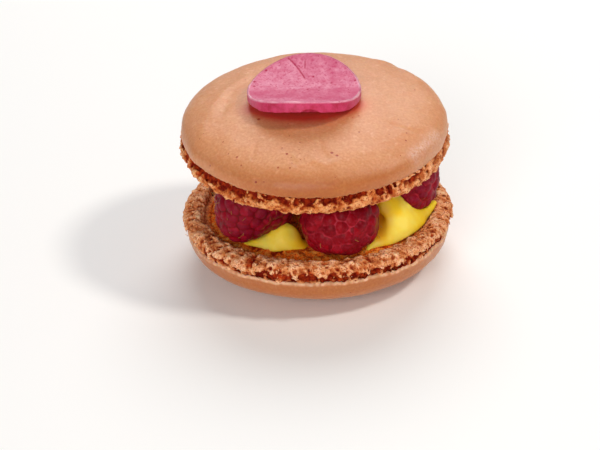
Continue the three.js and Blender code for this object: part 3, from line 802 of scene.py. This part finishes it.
raspberrySkin = raspberryMaterial(raspberryLook)
raspberryGrower = raspberryTree(raspberrySizes, raspberrySkin)
# for each berry: how much painted sheen lies on its tops, and how light its painted seams are
raspberries = {
    "raspberry_1": {"Half Width": 10.4, "Seed": 4, "Bloom": 0.5, "Seam": 0.1, "Styles": 0.35,
                    "Style Length": 3.0, "Fullness": 3.2, "Uneven": 0.14, "Swell": (0.58, 0.2, 0.06),
                    "Taper": (0.36, -0.31, -0.38)},
    "raspberry_2": {"Half Width": 10.4, "Seed": 8, "Bloom": 0.05, "Seam": 0.75, "Styles": 0.1,
                    "Drupelet": 2.5, "Uneven": 0.24, "Swell": (-0.34, -0.04, -0.12)},
    "raspberry_3": {"Half Width": 10.4, "Seed": 15, "Bloom": 0.6, "Seam": 0.75, "Styles": 0.06,
                    "Drupelet": 2.5, "Uneven": 0.2},
    "raspberry_4": {"Half Width": 10.25, "Seed": 23, "Bloom": 0.6, "Seam": 0.3},
    "raspberry_5": {"Half Width": 10.25, "Seed": 42, "Bloom": 0.7, "Seam": 0.2},
}
berryForms = {}
for node, own in raspberries.items():
    low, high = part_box(node)
    middle = (low + high) / 2
    halfTall = (high.z - low.z) / 2 / mm + berryPress
    bends = [own.get(key, raspberrySizes[key]) for key in ("Swell", "Taper")]
    berryForms[node] = (middle, own["Half Width"], halfTall, bends)
    berry = growPiece(node.replace("_", "Fruit"), raspberryGrower, {
        **raspberrySizes, **own, "Half Height": halfTall, "Place": tuple(middle),
        "Turn": (-upperTilt / 2, 0.0, 0.0)}, raspberrySkin)
    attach(berry, "root")
    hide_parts(node)
    print(node, len(berry.data.polygons))

# piped cream: soft dabs run together, hollowed where the fruit presses in

creamLook = {"cream": "#ffd31c", "creamPale": "#ffe45c", "creamDeep": "#e89a04", "juice": "#3c0410"}


def creamMaterial(look):
    # piped lemon cream: smooth and satin, a little see-through, with soft ripples from the nozzle
    material, add, tones = newMaterial("lemonPastryCream", look)
    place = add("ShaderNodeTexCoord").outputs["Object"]
    streak = add("ShaderNodeTexNoise", {"Vector": place, "Scale": 160.0, "Detail": 3.0})
    streakRange = add("ShaderNodeMapRange", [streak, 0.4, 0.65, 0.0, 1.0])
    # paler streaks of 6 mm, painted shade in deeper yellow by the berries, and painted dark shadow between
    # them
    shade, juice = (add("ShaderNodeAttribute", attribute_name=label).outputs["Fac"]
                    for label in ("shade", "juice"))
    colour = tones["cream"]
    for share, tone in ((streakRange, "creamPale"), (shade, "creamDeep"), (juice, "juice")):
        colour = add("ShaderNodeMix", {0: share, 6: colour, 7: tones[tone]}, data_type="RGBA")
    fine = add("ShaderNodeTexNoise", {"Vector": place, "Scale": 500.0, "Detail": 3.0})
    ripple = add("ShaderNodeBump", {"Strength": 0.25, "Distance": 0.25 * mm, "Height": fine})
    shader = add("ShaderNodeBsdfPrincipled", {
        "Base Color": colour, "Roughness": 0.5, "Specular IOR Level": 0.38,
        "Subsurface Weight": 0.4, "Subsurface Scale": 1.0,
        "Subsurface Radius": (1.8 * mm, 1.2 * mm, 0.35 * mm), "Normal": ripple})
    add("ShaderNodeOutputMaterial", {"Surface": shader})
    return material


# each dab runs from one place to another, in mm, with its thickness at both ends
creamDabs = [
    {"start": (5, 5, 14), "end": (5, 4, 37), "thick": (5, 4)},
    # left lobe and its tail
    {"start": (-9.6, -17.6, 15.0), "end": (-8.5, -13.0, 14.0), "thick": (4.6, 3.0)},
    {"start": (-12.0, -18.6, 12.6), "end": (-5.0, -20.0, 12.2), "thick": (4.7, 2.9)},
    {"start": (-12.5, -18.4, 12.9), "end": (-19.9, -18.3, 14.2), "thick": (4.9, 0.6)},
    # right lobe, its tail under the middle berry and the one drawn up the rim
    {"start": (18.8, -11.8, 14.0), "end": (16.2, -8.5, 25.0), "thick": (9.4, 6.8)},
    {"start": (17.0, -18.3, 13.8), "end": (13.0, -23.6, 13.9), "thick": (4.4, 0.9)},
    {"start": (25.0, -10.5, 14.6), "end": (32.3, -3.2, 16.7), "thick": (4.9, 0.7)},
    # lobes of the far side and of the left
    {"start": (15.1, 9.8, 13.5), "end": (11.5, 7.5, 23.0), "thick": (8.5, 6.0)},
    {"start": (19.0, 12.5, 13.6), "end": (24.0, 16.6, 14.2), "thick": (4.5, 0.8)},
    {"start": (-4.4, 15.5, 12.6), "end": (-3.0, 10.0, 17.0), "thick": (7.5, 6.0)},
    {"start": (-6.0, 19.5, 13.0), "end": (-8.6, 25.0, 14.0), "thick": (4.4, 0.8)},
    {"start": (-15.4, -1.2, 13.4), "end": (-13.0, -1.0, 18.6), "thick": (6.2, 5.0)},
    {"start": (-17.0, -3.0, 13.2), "end": (-21.8, -5.0, 13.9), "thick": (4.2, 0.8)},
]
# a furrow that the nozzle drew beside the middle berry, painted dark shadow between the berries, and
# painted shade in deeper yellow
creamFurrow = {"start": (16.4, -20.0, 17.5), "end": (17.4, -15.0, 21.0), "thick": (-0.2, 0.3), "soft": 8.5}
creamGapShadow = {"start": (5.0, 5.0, 14.0), "end": (5.0, 4.0, 37.0), "thick": (9.4, 8.4)}
creamShades = [
    {"start": (15.4, -20.0, 16.5), "end": (16.8, -15.6, 20.6), "thick": (1.2, 1.6)},
    {"start": (-3.8, -21.5, 14.0), "end": (-4.8, -16.5, 18.0), "thick": (1.0, 1.8)},
]
creamSizes = {"Voxel": 0.4, "Blend": 2.2, "Press": 0.1, "Floor": 14.1, "Crest": 16.7, "Ceiling": 36.5}
creamBox = [(-26.0, -28.0, 13.0), (35.0, 30.0, 39.0)]


def creamTree(sizes, dabs, fruits, material):
    # soft dabs melted together, as the level surface of a distance field in mm
    tree, add, given = newTree("creamDabs", sizes)
    here = add("GeometryNodeInputPosition")
    axes = add("ShaderNodeSeparateXYZ", [here])

    def roundCone(dab):
        # distance to a rounded cone between two places
        start, end = Vector(dab["start"]), Vector(dab["end"])
        along = end - start
        away = add("ShaderNodeVectorMath", [here, tuple(start)], operation="SUBTRACT")
        share = add("ShaderNodeVectorMath", [away, tuple(along / along.length_squared)],
                    operation="DOT_PRODUCT")
        held = add("ShaderNodeClamp", [share])
        foot = add("ShaderNodeVectorMath", {0: tuple(along), 3: held}, operation="SCALE")
        side = add("ShaderNodeVectorMath", [away, foot], operation="SUBTRACT")
        far = add("ShaderNodeVectorMath", [side], operation="LENGTH")
        thick = add("ShaderNodeMapRange", [held, 0.0, 1.0, *map(float, dab["thick"])])
        return add("ShaderNodeMath", [far, thick], operation="SUBTRACT")

    body = roundCone(dabs[0])
    for dab in dabs[1:]:
        body = add("ShaderNodeMath", [body, roundCone(dab), given["Blend"]], operation="SMOOTH_MIN")
    furrow = add("ShaderNodeMath", [roundCone(creamFurrow), -1.0], operation="MULTIPLY")
    body = add("ShaderNodeMath", [body, furrow, creamFurrow["soft"]], operation="SMOOTH_MAX")
    # slack waves that the nozzle leaves
    wave = add("ShaderNodeTexNoise", {"Vector": here, "Scale": 0.16, "Detail": 1.0})
    waveRange = add("ShaderNodeMapRange", [wave, 0.3, 0.7, -0.35, 0.35])
    body = add("ShaderNodeMath", [body, waveRange], operation="ADD")
    # the berries press in
    for middle, wide, tall, bends in fruits:
        away = add("ShaderNodeVectorMath", [here, tuple(middle / mm)], operation="SUBTRACT")
        shape = add("ShaderNodeVectorMath", [away, (1 / wide, 1 / wide, 1 / tall)], operation="MULTIPLY")
        far = bentShare(add, away, add("ShaderNodeVectorMath", [shape], operation="LENGTH"), *bends)
        pressed = add("ShaderNodeMath", [1.0, far], operation="SUBTRACT")
        depth = add("ShaderNodeMath", [pressed, wide, given["Press"]], operation="MULTIPLY_ADD")
        body = add("ShaderNodeMath", [body, depth, 0.6], operation="SMOOTH_MAX")
    # it lies in the bowl of the lower shell and stops at the tilted flat of the upper one
    bowl = add("ShaderNodeMapRange", [axisAway(add, here), 29.2, 33.5, given["Floor"], given["Crest"]])
    low = add("ShaderNodeMath", [bowl, axes.outputs["Z"]], operation="SUBTRACT")
    roof = add("ShaderNodeMath", [axes.outputs["Y"], math.tan(upperTilt), given["Ceiling"]],
               operation="MULTIPLY_ADD")
    high = add("ShaderNodeMath", [axes.outputs["Z"], roof], operation="SUBTRACT")
    body = add("ShaderNodeMath", [body, low, 0.3], operation="SMOOTH_MAX")
    body = add("ShaderNodeMath", [body, high], operation="MAXIMUM")

    # what the material reads: painted shade beside the berries, and painted dark shadow between them
    shadeAway = add("ShaderNodeMath", [roundCone(dab) for dab in creamShades], operation="MINIMUM")
    shade = add("ShaderNodeMapRange", [shadeAway, 3.0, -1.5, 0.0, 0.95], interpolation_type="SMOOTHSTEP")
    # a painted dark shadow over the cream round the core, where it shows between the berries
    juice = add("ShaderNodeMapRange", [roundCone(creamGapShadow), 1.5, -0.5, 0.0, 0.95])
    surface = fieldSurface(add, body, *creamBox, given["Voxel"], {"shade": shade, "juice": juice})
    placed = add("GeometryNodeTransform", {"Geometry": surface, "Scale": (mm, mm, mm)})
    endTree(add, placed, material)
    return tree


lemonCream = creamMaterial(creamLook)
creamGrower = creamTree(creamSizes, creamDabs, berryForms.values(), lemonCream)
cream = growPiece("pipedCream", creamGrower, creamSizes, lemonCream)
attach(cream, "root")
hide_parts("cream")
print("cream", len(cream.data.polygons))


# pink disc: a thin round of coloured chocolate, bent along a fold

discLook = {
    "pink": "#cc5a7c", "pinkDeep": "#c02860", "pinkPale": "#e498ae", "wall": "#cc406a",
    "wallDeep": "#b42a4a", "crack": "#b4204c", "rim": "#fdd0da",
}
discSizes = {
    "radius": 15.4, "depthShare": 0.905, "thick": 2.8, "bevel": 0.25, "shift": (-2.5, -1.7), "gap": 0.3,
    "bendNear": 0.0206, "bendFar": 0.0195, "swingNear": 0.073, "swingFar": 0.145,
    "rings": 64, "segments": 260, "wallSteps": 10, "underRings": 20,
    # waves of the cut edge: how many go round, where they start, and their share
    "edgeWaves": [(7, 1, 1), (17, 2, 1), (31, 0, 1), (53, 4, 1), (89, 1, 0.8)],
    "raggedOut": 0.02, "raggedDown": 0.035, "mottle": 0.07,
    # the burr: how high it stands, how far back from the edge, and how wide it is
    "rimLine": 0.14, "rimBack": 0.3, "rimWide": 0.26,
    # the lower edge is chipped in front and thins out towards its two ends, from this depth down
    "wornFrom": 1.2, "chipDepth": 1.0, "chipWidth": 1.9, "chipPlace": 1.4, "endThin": 0.9,
    # the crack and its branch, as points on the flat disc
    "cracks": [[(-4.0, 14.3), (-3.0, 13.0), (-1.9, 11.2), (-1.1, 9.6), (-0.3, 7.8), (0.3, 6.0)],
               [(0.6, 12.6), (0.5, 10.1)]],
    "crackWidth": [0.27, 0.2], "crackDepth": 0.15,
    # how deep the colour is along the fold, where it is painted shade, at the rim of the far side and over
    # its right part
    "foldDeep": 0.62, "rimDeep": 0.4, "farDeep": 0.4,
}


def discMaterial(look):
    # coloured chocolate: satin, cloudy with fat bloom, and pricked with tiny air bubbles
    material, add, tones = newMaterial("pinkColouredChocolate", look)
    place = add("ShaderNodeTexCoord").outputs["Object"]
    wall, crack, rim, deep = (add("ShaderNodeAttribute", attribute_name=label).outputs["Fac"]
                              for label in ("wall", "crack", "rim", "deep"))
    # uneven colour where the fat has bloomed, in 2 mm patches with fine edges
    patch = add("ShaderNodeTexNoise", {"Vector": place, "Scale": 450.0, "Detail": 5.0, "Roughness": 0.7})
    patchRange = add("ShaderNodeMapRange", [patch, 0.34, 0.66, 0.15, 0.9])
    # specks of deeper pink, a third of a millimetre
    speckle = add("ShaderNodeTexNoise", {"Vector": place, "Scale": 1500.0, "Detail": 2.0})
    speckRange = add("ShaderNodeMapRange", [speckle, 0.52, 0.68, 0.0, 0.6])
    # pits left by air bubbles, in some cells of 1.6 mm
    pitSpot = add("ShaderNodeMapRange", [spotsIn(add, place, 620.0, 0.25, 0.26), 0.0, 0.05, 0.0, 1.0])
    # the cut side is deeper and blotchy, and a painted highlight runs pale along the edge
    wallPatch = add("ShaderNodeMapRange", [patch, 0.4, 0.62, 0.0, 1.0])
    wallTone = add("ShaderNodeMix", {0: wallPatch, 6: tones["wall"], 7: tones["wallDeep"]},
                   data_type="RGBA")

    colour = tones["pink"]
    for share, tone in (
            (patchRange, tones["pinkPale"]), (speckRange, tones["pinkDeep"]), (deep, tones["pinkDeep"]),
            (pitSpot, tones["crack"]), (crack, tones["crack"]), (wall, wallTone),
            (rim, tones["rim"])):
        colour = add("ShaderNodeMix", {0: share, 6: colour, 7: tone}, data_type="RGBA")
    pitDepth = add("ShaderNodeMath", [pitSpot, -1.0], operation="MULTIPLY")
    pitBump = add("ShaderNodeBump", {"Strength": 0.35, "Distance": 0.15 * mm, "Height": pitDepth})
    fine = add("ShaderNodeTexNoise", {"Vector": place, "Scale": 1500.0, "Detail": 3.0})
    fineBump = add("ShaderNodeBump",
                   {"Strength": 0.35, "Distance": 0.1 * mm, "Height": fine, "Normal": pitBump})
    shader = add("ShaderNodeBsdfPrincipled", {
        "Base Color": colour, "Roughness": 0.55, "Specular IOR Level": 0.2,
        "Subsurface Weight": 0.2, "Subsurface Scale": 1.0,
        "Subsurface Radius": (1.2 * mm, 0.5 * mm, 0.5 * mm), "Normal": fineBump})
    add("ShaderNodeOutputMaterial", {"Surface": shader})
    return material


def discMesh(sizes, material):
    # one profile from the middle of the top, round the rim, to the middle of the underside
    radius, thick, bevel = sizes["radius"], sizes["thick"], sizes["bevel"]
    rings, steps, under = sizes["rings"], sizes["wallSteps"], sizes["underRings"]
    profile = [(radius * k / rings - bevel * (k == rings), 0.0, 0.0) for k in range(1, rings + 1)]
    profile += [(radius - bevel + bevel * math.sin(a), bevel * (1 - math.cos(a)), 0.0)
                for a in (math.pi / 6, math.pi / 3, math.pi / 2)]
    profile += [(radius, bevel + (thick - 2 * bevel) * k / steps, 1.0) for k in range(1, steps + 1)]
    profile += [(radius - bevel * (1 - math.cos(a)), thick - bevel + bevel * math.sin(a), 1.0)
                for a in (math.pi / 4, math.pi / 2)]
    profile += [(radius * k / under, thick, 1.0) for k in range(under - 1, 0, -1)]
    out, drop, onWall = (column[:, None] for column in np.array(profile).T)
    turns = np.arange(sizes["segments"]) * 2 * math.pi / sizes["segments"]
    ragged = sum(share * np.sin(count * turns + start) for count, start, share in sizes["edgeWaves"])
    outAll = out + sizes["raggedOut"] * ragged * (out / radius) ** 12
    x = outAll * np.cos(turns)
    y = outAll * np.sin(turns) * sizes["depthShare"]

    # it bends up on both sides of a fold that swings a little
    near = y < 0
    bend = np.where(near, sizes["bendNear"], sizes["bendFar"])
    fromFold = np.where(near, np.minimum(0, y + sizes["swingNear"] * x),
                        np.maximum(0, y + sizes["swingFar"] * x))
    lean = np.arctan(2 * bend * fromFold)
    wornFrom = sizes["wornFrom"]
    lowEdge = np.clip((drop - wornFrom) / (thick - wornFrom), 0, 1) * (out > 0.8 * radius)
    chip = sizes["chipDepth"] * np.exp(-((x - sizes["chipPlace"]) / sizes["chipWidth"]) ** 2) * near
    chip = chip + sizes["endThin"] * smoothStep(np.abs(x) / radius, 0.7, 1.0) * near
    depth = drop - lowEdge * (chip + sizes["raggedDown"] * ragged)
    onTop = drop < 0.01
    crack = np.zeros_like(x)
    for line, wide in zip(sizes["cracks"], sizes["crackWidth"]):
        away = lineAway(x, y / sizes["depthShare"], line)
        crack = np.maximum(crack, np.clip(1.2 - away / wide, 0, 1) * onTop)
    depth = depth + crack * sizes["crackDepth"]
    # a thin burr stands up along the rim, worn away here and there
    flatPlace = np.stack([x, y, 0 * x], axis=-1)
    worn = np.clip(0.75 + 0.9 * roughness(flatPlace, 2.4, 5), 0, 1)
    burr = np.exp(-((out - radius + sizes["rimBack"]) / sizes["rimWide"]) ** 2) * worn * (drop < bevel)
    depth = depth - sizes["rimLine"] * burr
    depth = depth - sizes["mottle"] * roughness(flatPlace, 1.6, 9) * onTop
    points = np.stack([x, y + depth * np.sin(lean), bend * fromFold ** 2 - depth * np.cos(lean)], axis=-1)

    # painted shade along the fold
    foldBand = (1 - smoothStep(y, -0.2, 1.2)) * (1 - smoothStep(-y - 0.25 * x, 5.0, 10.0))
    foldBand *= np.clip(0.85 + 0.4 * roughness(flatPlace, 3.0, 2), 0, 1) * onTop
    farPatch = np.clip(0.45 + 0.6 * roughness(flatPlace, 2.0, 6), 0, 0.8)
    farSide = smoothStep(x + 0.7 * y, 2.0, 11.0) * farPatch * onTop
    backRim = np.clip((out / radius - 0.9) / 0.08, 0, 1) * np.clip(y / 6, 0, 1) * onTop
    deep = np.maximum(sizes["foldDeep"] * foldBand, sizes["rimDeep"] * backRim)
    layers = {
        # the cut side is paler towards its two ends
        "wall": onWall * (1 - 0.5 * smoothStep(np.abs(x), 0.7 * radius, 0.98 * radius)), "crack": crack,
        # a painted highlight on the burr, strongest towards the near side
        "rim": 0.9 * burr * np.clip(1.3 - y / 9, 0.25, 1),
        "deep": np.maximum(deep, sizes["farDeep"] * farSide),
    }
    return spunMesh("pinkDisc", (0.0, 0.0, 0.0), points, (0.0, 0.0, -thick), layers, [material],
                    [0] * len(out))


disc = addObject("pinkDisc", discMesh(discSizes, discMaterial(discLook)))
lidTurn = Matrix.Rotation(upperTilt, 4, "X")
discRise = shells["shell_top"]["skin"]["domeHeight"] + discSizes["gap"] + discSizes["thick"]
discPlace = Vector((*discSizes["shift"], discRise)) * mm
toLid = Matrix.Translation(upperPlace) @ lidTurn @ Matrix.Translation(discPlace)
disc.data.transform(toLid @ Matrix.Scale(mm, 4))
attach(disc, "root")
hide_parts("pink_disc")
print("disc", len(disc.data.polygons))

# camera, floor and light

cameraSetup = {
    "elevation": 28.0, "roll": -1.95, "distance": 0.55, "lens": 117.5, "sensor": 36.0,
    "target": (-5.11 * mm, 0.0, 9.69 * mm),
}
# round soft lights, in metres and watts, and the even light of the room
lights = {
    "backSoftbox": {"place": (0.05, 0.62, 0.72), "aim": (0, 0, 0.03), "size": 0.75, "watts": 5.4},
    "frontSoftbox": {"place": (-0.25, -0.87, 0.35), "aim": (0, 0, 0.03), "size": 0.6, "watts": 5.4},
    "rightKey": {"place": (0.55, -0.15, 0.73), "aim": (0, 0, 0.04), "size": 0.15, "watts": 3.0,
                 "colour": "#fffaf2"},
}
roomLight = {"colour": "#ffffff", "strength": 0.2}
floorLook = {"paper": "#fbfaf9"}
floorWidth = 6.0


def placeCamera(setup):
    rise, roll = math.radians(setup["elevation"]), math.radians(setup["roll"])
    ahead = Vector((0, math.cos(rise), -math.sin(rise)))
    right = Vector((math.cos(roll), math.sin(rise) * math.sin(roll), math.cos(rise) * math.sin(roll)))
    data = bpy.data.cameras.new("studioCamera")
    data.lens, data.sensor_width, data.sensor_fit = setup["lens"], setup["sensor"], "HORIZONTAL"
    camera = addObject("studioCamera", data)
    turned = Matrix((right, right.cross(ahead), -ahead)).transposed().to_4x4()
    camera.matrix_world = Matrix.Translation(Vector(setup["target"]) - setup["distance"] * ahead) @ turned
    bpy.context.scene.camera = camera


def makeFloor(width, look):
    half = width / 2
    mesh = bpy.data.meshes.new("floor")
    corners = [(-half, -half, 0), (half, -half, 0), (half, half, 0), (-half, half, 0)]
    mesh.from_pydata(corners, [], [(0, 1, 2, 3)])
    # matt studio paper, with hardly a shine
    material, add, tones = newMaterial("paleStudioPaper", look)
    shader = add("ShaderNodeBsdfPrincipled",
                 {"Base Color": tones["paper"], "Roughness": 0.9, "Specular IOR Level": 0.1})
    add("ShaderNodeOutputMaterial", {"Surface": shader})
    mesh.materials.append(material)
    addObject("floor", mesh)


placeCamera(cameraSetup)
makeFloor(floorWidth, floorLook)
for name, light in lights.items():
    data = bpy.data.lights.new(name, "AREA")
    data.shape, data.size, data.energy = "DISK", light["size"], light["watts"]
    data.color = linear(light.get("colour", "#ffffff"))[:3]
    lamp = addObject(name, data)
    lamp.location = light["place"]
    toAim = Vector(light["aim"]) - lamp.location
    lamp.rotation_euler = toAim.to_track_quat("-Z", "Y").to_euler()
world = bpy.data.worlds.new("studio")
world.use_nodes = True
background = world.node_tree.nodes["Background"]
background.inputs["Color"].default_value = linear(roomLight["colour"])
background.inputs["Strength"].default_value = roomLight["strength"]
bpy.context.scene.world = world
bpy.context.scene.view_settings.view_transform = "Standard"
